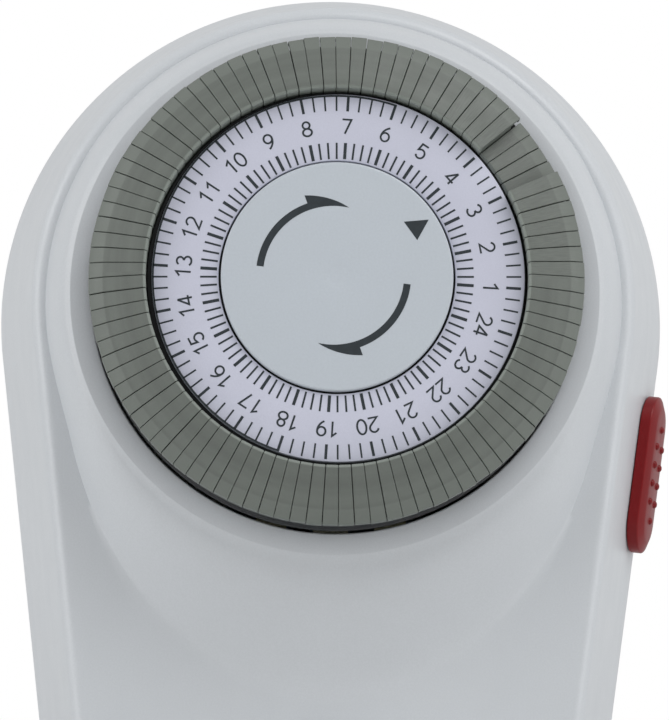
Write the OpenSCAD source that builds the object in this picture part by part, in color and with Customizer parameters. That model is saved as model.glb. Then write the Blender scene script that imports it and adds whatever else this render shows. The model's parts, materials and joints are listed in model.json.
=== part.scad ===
// Plug-in 24 hour segment timer: a case with a turning dial, 96 push tappets in hour sets,
// a geared synchronous motor, a feeler-operated contact set, an override slide and an earthed
// pass-through socket. Millimetres. Everything is drawn on the bench, lying on its plug face
// with the front upwards (bench +Z), and stood up by upright() so that the front faces -Y.

/* [Case] */
// Distance from the socket's axis up to the dial's axis
dial_y = 72; // [71:0.5:74]
// Half width of the case at the parting line, level with the dial
head_r = 38.7; // [38.4:0.1:39.4]
// Lean of the case's two sides, in degrees
side_taper = 7.2; // [6.8:0.1:7.6]
// Distance from the socket's axis down to the flat lower end
foot_drop = 27; // [26.5:0.5:28]
// Corner radius of the lower end at the parting line
foot_r = 14; // [13.5:0.5:14.5]
// Wall thickness of both case shells
wall = 2.2; // [2:0.1:2.3]

/* [Plug and socket] */
// Length of the plug's round body behind the case
plug_len = 17; // [16.5:0.5:17.5]
// Radius of the plug's round body
plug_r = 18.2; // [18:0.1:18.4]
// Radius of a plug pin
pin_r = 2.4; // [2.3:0.05:2.4]
// Length of a plug pin
pin_len = 19; // [18.5:0.5:19]
// Distance between the two pins
pin_gap = 19; // [18.8:0.1:19.2]
// Radius of the socket's round well
well_r = 19.5; // [19.3:0.1:19.6]

/* [Dial] */
// Radius over the tappets
ring_r = 27.5; // [27.3:0.1:27.6]
// Inner radius of the tappets
ring_in_r = 21.1; // [21.1:0.1:21.3]
// How far a tappet is pushed in
tappet_travel = 2.2; // [2:0.1:2.2]
// Gap between two neighbouring tappets
tappet_gap = 0.12; // [0.1:0.02:0.16]
// The hour whose four tappets are pushed in
set_hour = 3; // [1:1:24]
// Radius of the fixed centre disc
disc_r = 12.9; // [12.7:0.1:12.9]

/* [Gear train] */
// Tooth size of every gear
gear_module = 0.5; // [0.5]
// Teeth of each pinion
pinion_teeth = 12; // [12]
// Teeth of each wheel
wheel_teeth = 40; // [40]
// Teeth of the dial's own gear
dial_teeth = 60; // [60]

/* [Hidden] */

$fn = 96;
hull_fn = 48;
eps = 0.01;

// Heights above the plug's end face.
back_z = plug_len;
part_z = back_z + 10;
face_z = part_z + 17.2;
plateau_z = face_z + 5.8;
disc_z = plateau_z + 10;
tappet_z = disc_z + 1;
collar_z = face_z + 1.8;
well_floor_z = collar_z - 17.5;

// The front shell's side stands upright at first, then leans in by its draft angle.
upright_h = 2;
side_draft = 16.5;
// How far it has leaned in at heights above the parting line.
side_profile = [[0, 0], [upright_h, 0], [16, (16 - upright_h) * tan(side_draft)],
    [16.6, 4.5], [17.05, 5.05], [17.2, 5.7]];
// The same for the rear shell, below the parting line.
back_profile = [[-eps, 0], [-6, 0.3], [-9, 0.9], [-10, 1.8]];
foot_x = (head_r - foot_r - (dial_y + foot_drop - foot_r) * sin(side_taper)) / cos(side_taper);

// The raised plateau around the dial, and the tongue that runs down from it.
plateau_r = 30.1;
plateau_foot_r = 32.7;
tongue = [[12, 29.6], [22.8, 22.8]];
dial_hole_r = ring_r - 0.1;

// Case screws: two beside the dial and two beside the socket.
case_screws_at = [[-24.5, dial_y + 20.5], [24.5, dial_y + 20.5], [-19, -17], [19, -17]];
// Screws that hang the movement in the front shell.
plate_screws_at = [for (a = [85, 205, 358]) [30.5 * cos(a), dial_y + 30.5 * sin(a)]];
screw_r = 1.25;
boss_r = 3;
case_boss_h = 13;

// The movement's two plates and the dial's stack.
motor_plate_z = 30;
gear_plate_z = 43.6;
plate_t = 1.6;
post_r = 3.5;
running = 0.05;
hub_z = 47.4;
dial_gear_t = 2.4;
carrier_floor_z = 50.4;
carrier_top_z = disc_z - 1.6;

// Gear centres, each one mesh away from the last.
train_span = gear_span(wheel_teeth, pinion_teeth);
clutch_at = polar(gear_span(dial_teeth, pinion_teeth), 135);
gear_3_at = clutch_at + polar(train_span, -8);
gear_2_at = gear_3_at + polar(train_span, 38);
gear_1_at = gear_2_at + polar(train_span, -78);
rotor_at = gear_1_at + polar(train_span, -125);
axle_r = 0.8;
arbor_r = 1.2;
wheel_t = 1.6;
pinion_t = 2.4;
layer_z = [32.4, 34.6, 36.8, 39];

// Turn of each gear that brings its teeth into mesh with the one before.
gear_1_turn = mesh_turn(rotor_at, gear_1_at, 0, pinion_teeth, wheel_teeth);
gear_2_turn = mesh_turn(gear_1_at, gear_2_at, gear_1_turn, pinion_teeth, wheel_teeth);
gear_3_turn = mesh_turn(gear_2_at, gear_3_at, gear_2_turn, pinion_teeth, wheel_teeth);
clutch_wheel_turn = mesh_turn(gear_3_at, clutch_at, gear_3_turn, pinion_teeth, wheel_teeth);
clutch_pinion_turn = mesh_turn([0, 0], clutch_at, 0, dial_teeth, pinion_teeth);

// Tappets: the hour marks start from here, anticlockwise from the right.
first_hour_angle = -2.6;
tappet_angle = 360 / 96;
leg_in_r = 22.4;
leg_out_r = 25.4;
leg_w = 1;

// The contact set stands on end between the dial and the socket.
blade_y = 34;
lever_y = blade_y + 2.75;
lever_z = 41.8;
lever_down = 6.9;
blade_gap = 2.05;
blade_foot_z = 20.4;
blade_top_z = 38.5;
blade_w = 5;

// The override slide lies along the right-hand side.
slide_y = 54.3;
slide_z = 31.5;
slide_l = 18.4;
slide_w = 7.6;
slide_travel = 3;
// How far in the leaning side lies at the slide's height.
slide_in = (slide_z - part_z - upright_h) * tan(side_draft);
stem_w = 4.6;
arm_drop = 9;
arm_x = 18.6;

function hour_name(h) = str("tappets_hour_", h < 10 ? "0" : "", h);
function polar(r, a) = [r * cos(a), r * sin(a)];
function gear_span(n, m) = (n + m) * gear_module / 2;
function involute(a) = tan(a) * 180 / PI - a;

// Half the angle that a tooth takes up at radius r.
function tooth_half(r, n) =
    let (base_r = n * gear_module / 2 * cos(25), slack = 0.07)
    90 / n - slack / (n * gear_module) * 180 / PI
        + involute(25) - involute(acos(min(1, base_r / max(r, base_r))));

// The turn of gear b, so that a gap of b meets a tooth of a on the line of centres.
function mesh_turn(a_at, b_at, a_turn, a_teeth, b_teeth) =
    let (line = atan2(b_at[1] - a_at[1], b_at[0] - a_at[0]))
    line + 180 + (line - a_turn) * a_teeth / b_teeth + 180 / b_teeth;

// Outline points of a gear with involute flanks.
function gear_points(n) =
    let (r = n * gear_module / 2,
         steps = [r - 1.15 * gear_module, r - 0.5 * gear_module, r, r + 0.9 * gear_module])
    [for (i = [0:n - 1], side = [-1, 1], k = [0:3])
        let (s = side < 0 ? steps[k] : steps[3 - k])
        polar(s, i * 360 / n + side * tooth_half(s, n))];

module upright() rotate([90, 0, 0]) children();
module at_dial(z = 0) translate([0, dial_y, z]) children();
module at_gear(place, z, turn) at_dial(z) translate(place) rotate(turn) children();

module gear(n, t, bore_r) {
    difference() {
        linear_extrude(t) polygon(gear_points(n));
        translate([0, 0, -1]) cylinder(r = bore_r, h = t + 2);
    }
}

module tube(r_out, r_in, h) {
    difference() {
        cylinder(r = r_out, h = h);
        translate([0, 0, -1]) cylinder(r = r_in, h = h + 2);
    }
}

// One thin slice of the case's outline, leaned in all round.
module outline_slice(z, lean) {
    translate([0, dial_y, z]) cylinder(r = head_r - lean, h = eps, $fn = 96);
    for (side = [-1, 1])
        translate([side * foot_x, foot_r - foot_drop, z])
            cylinder(r = foot_r - lean, h = eps, $fn = hull_fn);
}

module shell_solid(profile, lean = 0, lift = 0) {
    hull()
        for (p = profile) outline_slice(part_z + p[0] + lift, p[1] + lean);
}

module plateau_solid(inset = 0, drop = 0) {
    hull() {
        at_dial(face_z - 1 - drop) cylinder(r = plateau_foot_r - inset, h = 1, $fn = 96);
        at_dial(plateau_z - 0.5 - drop) cylinder(r = plateau_r - inset, h = 0.5, $fn = 96);
        for (t = tongue)
            at_dial(face_z - 1 - drop) translate([0, -t[0], 0])
                cylinder(r = t[1] - inset, h = 1, $fn = 64);
    }
}

// Front shell: sides, face, plateau, and the bosses that hang inside it.
module front_case() color([0.80, 0.82, 0.83]) upright() {
    difference() {
        union() {
            difference() {
                union() {
                    shell_solid(side_profile);
                    plateau_solid();
                }
                shell_solid(side_profile, wall, -wall - eps);
                plateau_solid(wall, wall);
                translate([-60, -60, part_z - 20]) cube([120, 200, 20]);
            }
            for (p = case_screws_at)
                translate([p[0], p[1], part_z]) cylinder(r = boss_r, h = case_boss_h);
            for (p = plate_screws_at)
                translate([p[0], p[1], motor_plate_z + plate_t])
                    cylinder(r = boss_r, h = face_z - wall / 2 - motor_plate_z - plate_t);
        }
        at_dial(face_z - 10) cylinder(r = dial_hole_r, h = 30);
        translate([0, 0, face_z - 10]) cylinder(r = well_r + 2, h = 30);
        for (p = case_screws_at)
            translate([p[0], p[1], part_z - 1]) cylinder(r = screw_r, h = 11);
        for (p = plate_screws_at)
            translate([p[0], p[1], motor_plate_z]) cylinder(r = screw_r, h = 9);
        slide_place(0) translate([0, slide_travel / 2, 0])
            cube([12, stem_w + slide_travel + 0.8, 3.4], center = true);
    }
}

// Rear shell with the round plug body and the screw wells.
module rear_case() color([0.78, 0.80, 0.81]) upright() {
    difference() {
        union() {
            difference() {
                shell_solid(back_profile);
                hull() {
                    outline_slice(back_z + wall, wall + 1);
                    outline_slice(back_z + wall + 2, wall + 0.3);
                    outline_slice(part_z + 1, wall);
                }
            }
            for (p = case_screws_at)
                translate([p[0], p[1], back_z + 1]) cylinder(r = boss_r + 0.6, h = part_z - back_z - 1);
            cylinder(r = plug_r, h = back_z + wall);
        }
        // Hollow of the plug body, which the contact block fills.
        translate([0, 0, 3]) cylinder(r = plug_r - wall, h = part_z);
        for (side = [-1, 1]) {
            translate([side * pin_gap / 2, 0, -1]) cylinder(r = pin_r + 0.03, h = 8);
            // Guide notch beside each pin.
            translate([side * (plug_r + 1), 0, back_z / 2 - 1])
                cube([5, 4.6, back_z + 2], center = true);
            // Groove for each earth contact, and its way into the case.
            translate([0, side * (plug_r + 0.6), back_z / 2 - 1])
                cube([6.2, 3.2, back_z + 2], center = true);
            translate([0, side * 17.4, back_z + 1]) cube([5.4, 1.4, 12], center = true);
        }
        for (p = case_screws_at) translate([p[0], p[1], 0]) {
            translate([0, 0, back_z - 1]) cylinder(r = 1.7, h = 12);
            translate([0, 0, back_z - 1]) cylinder(r = 3, h = 6);
        }
    }
}

// A round-headed screw with a three-sided key, its head at the bottom.
module screw(l, head_r, head_h, r = screw_r) {
    difference() {
        union() {
            cylinder(r = head_r, h = head_h, $fn = 48);
            translate([0, 0, head_h]) cylinder(r = r, h = l, $fn = 48);
        }
        translate([0, 0, -eps]) cylinder(r = head_r * 0.5, h = head_h * 0.6, $fn = 3);
    }
}

module case_screws() color("silver") upright()
    for (p = case_screws_at)
        translate([p[0], p[1], back_z + 3]) screw(14, 2.7, 2, screw_r - 0.02);

module plate_screws() color("silver") upright()
    for (p = plate_screws_at)
        translate([p[0], p[1], motor_plate_z - 1.4]) screw(8, 2.3, 1.4, screw_r - 0.02);

// Round well of the socket, with its collar and the two guide ribs.
module socket_well() color([0.79, 0.81, 0.82]) upright() {
    lip = 1.1;
    difference() {
        union() {
            rotate_extrude()
                polygon([[well_r, well_floor_z - 2], [well_r + 1.8, well_floor_z - 2],
                         [well_r + 1.8, face_z + 0.03], [well_r + 3.6, face_z + 0.03],
                         [well_r + 3.6, collar_z - lip], [well_r + 3.6 - lip, collar_z],
                         [well_r + 0.5, collar_z], [well_r, collar_z - 0.5]]);
            for (side = [-1, 1])
                translate([side * (well_r - 0.9), 0, well_floor_z + 8])
                    cube([2.8, 4, 16], center = true);
        }
        for (side = [-1, 1])
            translate([0, side * well_r, well_floor_z - 3]) cube([6, 3, 26], center = true);
    }
}

// Floor of the well, with the pin holes and the stem that the shutter turns on.
module socket_face() color([0.79, 0.81, 0.82]) upright() {
    difference() {
        union() {
            translate([0, 0, well_floor_z - 2]) cylinder(r = well_r - 0.03, h = 2);
            translate([0, 0, well_floor_z - 4.4]) cylinder(r = 2, h = 2.6);
        }
        for (side = [-1, 1]) {
            translate([side * pin_gap / 2, 0, well_floor_z - 4]) cylinder(r = 2.7, h = 6);
            translate([0, side * (well_r - 0.4), well_floor_z - 3]) cube([6, 3.4, 8], center = true);
        }
        translate([0, 0, well_floor_z - 5]) cylinder(r = 0.9, h = 4);
    }
}

// Child shutter: two leaves that cover the pin holes and turn aside.
module shutter() color([0.85, 0.55, 0.2]) upright()
    translate([0, 0, well_floor_z - 3.9]) difference() {
        union() {
            cylinder(r = 4, h = 1.6);
            for (turn = [0, 180]) rotate(turn)
                linear_extrude(1.6)
                    polygon([[0, -3.2], [12.6, -3.2], [12.9, 0], [12.6, 3.2], [0, 3.2]]);
        }
        translate([0, 0, -1]) cylinder(r = 2 + running, h = 4);
    }

// Insulating block that fills the plug body and holds the sleeves.
module contact_block() color([0.93, 0.92, 0.88]) upright() {
    difference() {
        union() {
            translate([0, 0, 4.2]) cylinder(r = plug_r - wall - 0.3, h = 15.6);
            // Foot of the contact set.
            translate([-6, 27, 19.4]) cube([12, 10, 5]);
            translate([-6, 14, 19.4]) cube([12, 13.5, 2.4]);
        }
        for (side = [-1, 1]) {
            translate([side * pin_gap / 2, 0, 0]) cylinder(r = 3.5, h = 30);
        }
        // Way through the neck for the upper earth contact.
        translate([-3, 16.4, 18]) cube([6, 3.2, 6]);
        // The moving blade's slot is wide, so that it can lean.
        translate([-blade_w / 2, blade_y - 0.55, 18]) cube([blade_w, 1.1, 10]);
        translate([-blade_w / 2, blade_y - blade_gap - 0.25, 18]) cube([blade_w, 0.5, 10]);
    }
}

// A slit contact sleeve with its root above z.
module sleeve(z) {
    difference() {
        translate([0, 0, z]) tube(3.3, pin_r + 0.05, 22 - z);
        translate([-0.4, -5, z + 3]) cube([0.8, 10, 30]);
    }
    translate([0, 0, z - 0.8]) cylinder(r = 3.3, h = 0.8 + eps);
}

module live_sleeve() color("gold") upright()
    translate([-pin_gap / 2, 0, 0]) sleeve(6.4);

module neutral_sleeve() color("gold") upright()
    translate([pin_gap / 2, 0, 0]) sleeve(5.2);

// A plug pin with its round tip and its seating flange.
module plug_pin() {
    tip = 1.2;
    rotate_extrude()
        polygon([[0, -pin_len], [pin_r - tip, -pin_len], [pin_r, tip - pin_len],
                 [pin_r, 0], [pin_r - 0.2, 0], [pin_r - 0.2, 3.1],
                 [3.3, 3.1], [3.3, 4.3], [0, 4.3]]);
}

module live_pin() color("silver") upright() translate([-pin_gap / 2, 0, 0]) plug_pin();
module neutral_pin() color("silver") upright() translate([pin_gap / 2, 0, 0]) plug_pin();

// Points of a strip of thickness t that follows a bent line.
function strip_points(line, t) =
    let (n = len(line),
         side = [for (i = [0:n - 1])
             let (d = line[min(i + 1, n - 1)] - line[max(i - 1, 0)])
             [-d[1], d[0]] / norm(d) * t / 2])
    concat([for (i = [0:n - 1]) line[i] + side[i]],
           [for (i = [n - 1:-1:0]) line[i] - side[i]]);

// Earth strip: a bowed spring in the well and a contact in each plug groove, on one ring.
module earth_strip() color("gold") upright() {
    line = [[16.9, well_floor_z + 12], [16.2, well_floor_z + 9], [18.3, well_floor_z + 2],
            [18.3, well_floor_z - 7], [17.6, back_z + 3], [17.6, 2]];
    for (turn = [90, 270]) rotate(turn)
        translate([0, 2.5, 0]) rotate([90, 0, 0]) linear_extrude(5) polygon(strip_points(line, 0.6));
    translate([0, 0, well_floor_z - 6.4]) tube(18.2, 16.4, 0.7);
}

// Front plate of the movement, with the dial's post and the lugs of the feeler lever.
module gear_plate() color([0.86, 0.84, 0.72]) upright() {
    difference() {
        union() {
            at_dial(gear_plate_z) difference() {
                cylinder(r = 26.5, h = plate_t);
                translate([-40, -60, -1]) cube([80, 41, 4]);
            }
            // Two arms, one step lower than the plate, and the lever's lugs at their ends.
            for (side = [-1, 1]) translate([side * 6.75 - 1.75, 0, 0]) {
                translate([0, lever_y - 2, gear_plate_z - 2]) cube([3.5, 22, plate_t]);
                translate([0, lever_y + 17.5, gear_plate_z - 2]) cube([3.5, 4, 2 + plate_t]);
                translate([0, lever_y - 1.9, lever_z - 2]) cube([3.5, 4.2, 3.3]);
            }
            at_dial(gear_plate_z) cylinder(r = post_r, h = disc_z - 1.15 - gear_plate_z);
            at_dial(gear_plate_z) cylinder(r = 6, h = hub_z - 0.1 - gear_plate_z);
            for (p = [[-20, -10], [19, -12], [-1, 25]])
                at_dial(motor_plate_z + plate_t) translate(p)
                    cylinder(r = 2.2, h = gear_plate_z - motor_plate_z - plate_t + eps);
        }
        at_dial(disc_z - 8) cylinder(r = 1.8, h = 10);
        at_dial(gear_plate_z - 1) translate(clutch_at) cylinder(r = arbor_r + running, h = 4);
        for (p = [gear_1_at, gear_2_at, gear_3_at])
            at_dial(gear_plate_z - 1) translate(p) cylinder(r = axle_r + 0.01, h = 1.8);
        translate([-10, lever_y, lever_z]) rotate([0, 90, 0]) cylinder(r = 1.01, h = 20);
    }
}

// Rear plate of the movement, which carries the motor.
module motor_plate() color([0.72, 0.73, 0.74]) upright() {
    difference() {
        union() {
            at_dial(motor_plate_z) cylinder(r = 27.6, h = plate_t);
            for (p = plate_screws_at)
                translate([0, 0, motor_plate_z]) linear_extrude(plate_t) hull() {
                    translate([0, dial_y]) circle(r = 4);
                    translate(p) circle(r = 2.9);
                }
        }
        at_dial(motor_plate_z - 1) translate(rotor_at) cylinder(r = 4.2, h = 4);
        at_dial(motor_plate_z - 1) translate(clutch_at) cylinder(r = arbor_r + running, h = 4);
        for (p = [gear_1_at, gear_2_at, gear_3_at])
            at_dial(motor_plate_z - 1) translate(p) cylinder(r = axle_r + 0.01, h = 4);
        for (p = plate_screws_at)
            translate([p[0], p[1], motor_plate_z - 1]) cylinder(r = 1.45, h = 4);
        // Room for the blades and for the override's arm.
        translate([-12, 30, motor_plate_z - 1]) cube([24, 22, 4]);
        translate([arm_x - 10, 30, motor_plate_z - 1]) cube([24, 23, 4]);
    }
}

// Fixed steel axles of the rotor and the three reduction gears, and the lever's pin.
module gear_axles() color("silver") upright() {
    for (p = [gear_1_at, gear_2_at, gear_3_at])
        at_dial(motor_plate_z) translate(p) cylinder(r = axle_r, h = gear_plate_z + 0.6 - motor_plate_z);
    at_dial(20.7) translate(rotor_at) cylinder(r = axle_r, h = 16);
    translate([-8.4, lever_y, lever_z]) rotate([0, 90, 0]) cylinder(r = 1, h = 16.8);
}

// Steel can of the synchronous motor, closed by the motor plate.
module motor_can() color([0.75, 0.76, 0.77]) upright() at_dial(20) translate(rotor_at)
    difference() {
        cylinder(r = 15, h = 10);
        translate([0, 0, 0.8]) cylinder(r = 14.3, h = 10);
        translate([0, 0, -1]) cylinder(r = axle_r + 0.01, h = 3);
        rotate(200) translate([13, -3, 5]) cube([4, 6, 6]);
    }

module coil_bobbin() color([0.3, 0.3, 0.32]) upright() at_dial(21) translate(rotor_at)
    rotate_extrude()
        polygon([[8.8, 0], [14.1, 0], [14.1, 0.8], [9.7, 0.8], [9.7, 8], [14.1, 8],
                 [14.1, 8.8], [8.8, 8.8]]);

module coil_winding() color([0.72, 0.38, 0.2]) upright() at_dial(21.9) translate(rotor_at)
    tube(13.6, 9.75, 7);

// Magnet rotor with the first pinion.
module rotor() color([0.25, 0.25, 0.27]) upright() {
    at_gear(rotor_at, 21.4, 0) tube(8, axle_r + running, 7.6);
    at_gear(rotor_at, 29, 0) tube(2, axle_r + running, layer_z[0] - 29 + 0.1);
    at_gear(rotor_at, layer_z[0] - 0.2, 0) gear(pinion_teeth, 2, axle_r + running);
}

// A reduction gear: a wheel with a pinion on top of it.
module reduction_gear(place, turn, z) {
    at_gear(place, z, turn) gear(wheel_teeth, wheel_t, axle_r + running);
    at_gear(place, z + wheel_t, turn) gear(pinion_teeth, pinion_t, axle_r + running);
}

module gear_1() color([0.95, 0.94, 0.88]) upright()
    reduction_gear(gear_1_at, gear_1_turn, layer_z[0]);
module gear_2() color([0.9, 0.85, 0.6]) upright()
    reduction_gear(gear_2_at, gear_2_turn, layer_z[1]);
module gear_3() color([0.95, 0.94, 0.88]) upright()
    reduction_gear(gear_3_at, gear_3_turn, layer_z[2]);

module clutch_wheel() color([0.9, 0.85, 0.6]) upright()
    at_gear(clutch_at, layer_z[3], clutch_wheel_turn) gear(wheel_teeth, wheel_t, arbor_r + running);

// Cupped friction washer between the clutch wheel and the arbor's collar.
module clutch_spring() color("silver") upright()
    at_dial(layer_z[3] + wheel_t) translate(clutch_at)
        rotate_extrude()
            polygon([[1.5, 0.75], [1.5, 1.1], [5, 0.35], [5, 0.02]]);

// Arbor of the clutch, with its collar and the pinion that drives the dial.
module clutch_pinion() color([0.85, 0.85, 0.8]) upright() {
    at_dial(motor_plate_z) translate(clutch_at) cylinder(r = arbor_r, h = 20.6);
    at_dial(layer_z[3] + wheel_t + 1.12) translate(clutch_at) cylinder(r = 2.4, h = 1.2);
    at_gear(clutch_at, hub_z + 0.3, clutch_pinion_turn) gear(pinion_teeth, 2, arbor_r - 0.1);
}

module dial_gear() color([0.15, 0.15, 0.16]) upright() at_dial(hub_z + 0.1) {
    gear(dial_teeth, dial_gear_t, 6);
    translate([0, 0, dial_gear_t]) tube(8, 6, carrier_top_z - 1.7 - hub_z - 0.1 - dial_gear_t);
}

// Black carrier of the dial: hub, top plate, and a slotted floor that guides the tappets.
module dial_carrier() color([0.12, 0.13, 0.14]) upright() at_dial() {
    difference() {
        rotate_extrude()
            polygon([[post_r + running, hub_z], [5.98, hub_z],
                     [5.98, carrier_top_z - 1.7], [ring_in_r - 1.2, carrier_top_z - 1.7],
                     [ring_in_r - 1.2, carrier_floor_z], [ring_r - 0.3, carrier_floor_z],
                     [ring_r - 0.3, carrier_floor_z + 1], [ring_r - 0.6, carrier_floor_z + 1.4],
                     [ring_r - 0.6, tappet_z - 5], [ring_r - 1.3, tappet_z - 5],
                     [ring_r - 1.3, carrier_floor_z + 1.5], [ring_in_r - 0.1, carrier_floor_z + 1.5],
                     [ring_in_r - 0.1, carrier_top_z], [post_r + running, carrier_top_z]]);
        for (i = [0:95])
            rotate(first_hour_angle + (i + 0.5) * tappet_angle)
                translate([leg_in_r - 0.15, -leg_w / 2 - 0.1, carrier_floor_z - 1])
                    cube([leg_out_r - leg_in_r + 0.3, leg_w + 0.2, 4]);
    }
}

module hour_scale() color([0.86, 0.87, 0.92]) upright()
    at_dial(carrier_top_z) tube(ring_in_r - 0.27, disc_r + 0.15, 1);

// Fixed disc with the turning arrows, stemmed into the dial's post.
module centre_disc() color([0.78, 0.81, 0.84]) upright() at_dial() {
    translate([0, 0, disc_z - 1]) cylinder(r = disc_r, h = 1);
    translate([0, 0, disc_z - 6]) cylinder(r = 1.78, h = 5 + eps);
}

// One push tappet, standing on the +X axis: a head over the carrier's wall, and a leg.
module tappet() {
    head = [[ring_in_r, tappet_z - 6], [ring_r - 1.45, tappet_z - 6],
            [ring_r - 1.45, tappet_z - 2.65], [ring_r - 0.45, tappet_z - 2.65],
            [ring_r - 0.45, tappet_z - 3.8], [ring_r, tappet_z - 3.8],
            [ring_r, tappet_z - 2.4], [ring_r - 1.6, tappet_z - 1.5],
            [ring_in_r + 0.3, tappet_z], [ring_in_r, tappet_z - 0.3]];
    difference() {
        rotate([90, 0, 0]) linear_extrude(3, center = true) polygon(head);
        for (side = [-1, 1]) rotate(side * tappet_angle / 2)
            translate([ring_in_r - 5, side * (3 - tappet_gap) / 2 - 1.5, tappet_z - 8])
                cube([ring_r - ring_in_r + 8, 3, 10]);
    }
    translate([leg_in_r, -leg_w / 2, carrier_floor_z - 1.8])
        cube([leg_out_r - leg_in_r, leg_w, tappet_z - 5.9 - carrier_floor_z + 1.8]);
}

// The four tappets of one hour, pushed in when it is the set hour.
module tappet_set(hour) color([0.48, 0.52, 0.49]) upright()
    at_dial(hour == set_hour ? -tappet_travel : 0)
        for (quarter = [0:3])
            rotate(first_hour_angle + ((hour - 1) * 4 + quarter + 0.5) * tappet_angle) tappet();

// Feeler lever, held down: its finger stands under the tappets' legs, and its tail works the blade.
module feeler_lever() color([0.92, 0.9, 0.82]) upright()
    translate([0, lever_y, lever_z]) rotate([-lever_down, 0, 0]) rotate([90, 0, 90]) difference() {
        union() {
            translate([0, 0, -4.8]) cylinder(r = 2.1, h = 9.6);
            translate([0, 0, -2]) linear_extrude(4)
                polygon([[-1.5, -1.5], [-1.6, -6.6], [-0.2, -6.6], [1.4, -1.5], [11.6, -0.6],
                         [13.1, 1], [13.1, 5.3], [12.7, 5.9], [12, 5.9], [11.6, 5.3],
                         [11, 2.2], [0, 1.9]]);
        }
        translate([0, 0, -6]) cylinder(r = 1 + running, h = 12);
    }

// A contact blade on end at y, with its rivet towards the other blade.
module blade(y, side) {
    translate([-blade_w / 2 + 0.1, y - 0.2, blade_foot_z])
        cube([blade_w - 0.2, 0.4, blade_top_z - blade_foot_z]);
    translate([0, y, blade_top_z - 1.8]) rotate([side * 90, 0, 0]) cylinder(r = 1.3, h = 1);
}

module moving_blade() color([0.78, 0.55, 0.32]) upright() blade(blade_y, 1);
module fixed_blade() color([0.78, 0.55, 0.32]) upright() blade(blade_y - blade_gap, -1);

// Puts a child flat on the right-hand wall: +X is outwards, +Y runs up along the wall.
module slide_place(out) {
    wall_x = head_r / cos(side_taper) - (dial_y - slide_y) * tan(side_taper);
    translate([wall_x, slide_y, slide_z]) rotate(-side_taper) translate([out, 0, 0]) children();
}

// Red cap of the override slide, a long pill with bevelled sides and grip dots.
module override_slide() color([0.62, 0.1, 0.1]) upright() {
    slide_place(0.1 - slide_in) rotate([0, -side_draft, 0]) {
        rotate([0, 90, 0]) hull() {
            for (end = [-1, 1]) translate([0, end * (slide_l - slide_w) / 2, 0]) {
                cylinder(r = slide_w / 2, h = 1.3, $fn = hull_fn);
                cylinder(r = slide_w / 2 - 1.3, h = 1.9, $fn = hull_fn);
            }
        }
        for (row = [-2.5:2.5]) for (col = abs(row) > 2 ? [0] : [-1, 1])
            translate([1.8, row * 2.15, col * 1.3]) sphere(r = 0.45, $fn = 24);
    }
    slide_place(-4) cube([9, stem_w, 2.6], center = true);
}

// Arm behind the wall that the slide moves, with a finger that reaches the moving blade.
module override_arm() color([0.9, 0.9, 0.86]) upright() {
    slide_place(-9.4) translate([0, (4 - arm_drop) / 2, 0])
        cube([1.8, arm_drop + 7, 6], center = true);
    slide_place(-14) translate([0, -arm_drop, 0]) cube([9.4, 3, 2.4], center = true);
    translate([arm_x - 1.5, blade_y + 1, slide_z - 1.2])
        cube([3, slide_y - arm_drop - blade_y + 2, 2.4]);
    translate([-1.5, blade_y + 1, slide_z - 1.2]) cube([arm_x + 2, 3, 2.4]);
}

// A round lead swept along its own points.
module lead(route, r) {
    sides = 8;
    rings = [for (i = [0:len(route) - 1])
        let (along = route[min(i + 1, len(route) - 1)] - route[max(i - 1, 0)],
             u = cross(along / norm(along), [0.3, 0.2, 0.93]),
             v = cross(along / norm(along), u / norm(u)))
        for (s = [0:sides - 1])
            route[i] + r * (cos(s * 360 / sides) * u / norm(u) + sin(s * 360 / sides) * v)];
    last = (len(route) - 1) * sides;
    polyhedron(rings, concat(
        [[for (s = [0:sides - 1]) s], [for (s = [sides - 1:-1:0]) last + s]],
        [for (i = [0:len(route) - 2], s = [0:sides - 1])
            let (t = (s + 1) % sides)
            [i * sides + s, (i + 1) * sides + s, (i + 1) * sides + t, i * sides + t]]));
}

// Points of a smooth line through four handles.
function bezier(p, n) = [for (i = [0:n])
    let (t = i / n) pow(1 - t, 3) * p[0] + 3 * pow(1 - t, 2) * t * p[1]
        + 3 * (1 - t) * t * t * p[2] + pow(t, 3) * p[3]];

// The two motor leads, from the can's side down to the sleeves.
module motor_leads() color([0.45, 0.28, 0.18]) upright() {
    lead(bezier([[-10.5, 63, 26.5], [-17, 58, 26], [-20, 30, 24], [-13.2, 3, 23.2]], 14), 0.6);
    lead(bezier([[-10.5, 60.6, 26.5], [-14, 46, 26], [26, 42, 25], [13.2, 3, 23.2]], 18), 0.6);
}

front_case();
rear_case();
case_screws();
socket_well();
socket_face();
shutter();
contact_block();
live_sleeve();
neutral_sleeve();
live_pin();
neutral_pin();
earth_strip();
gear_plate();
motor_plate();
plate_screws();
gear_axles();
motor_can();
coil_bobbin();
coil_winding();
rotor();
gear_1();
gear_2();
gear_3();
clutch_wheel();
clutch_spring();
clutch_pinion();
dial_gear();
dial_carrier();
hour_scale();
centre_disc();
feeler_lever();
moving_blade();
fixed_blade();
override_slide();
override_arm();
motor_leads();
for (h = [1:24])
    tappet_set(h);
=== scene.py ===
"""Looks of the plug-in segment timer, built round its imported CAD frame.

Pieces are drawn in the part's bench coordinates, in millimetres: x to the right, y up the
front, z out of the front. at() turns a bench point into the row frame, in metres.
"""

import json
import math
import random

import bmesh
import bpy
from mathutils import Matrix, Vector

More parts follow.
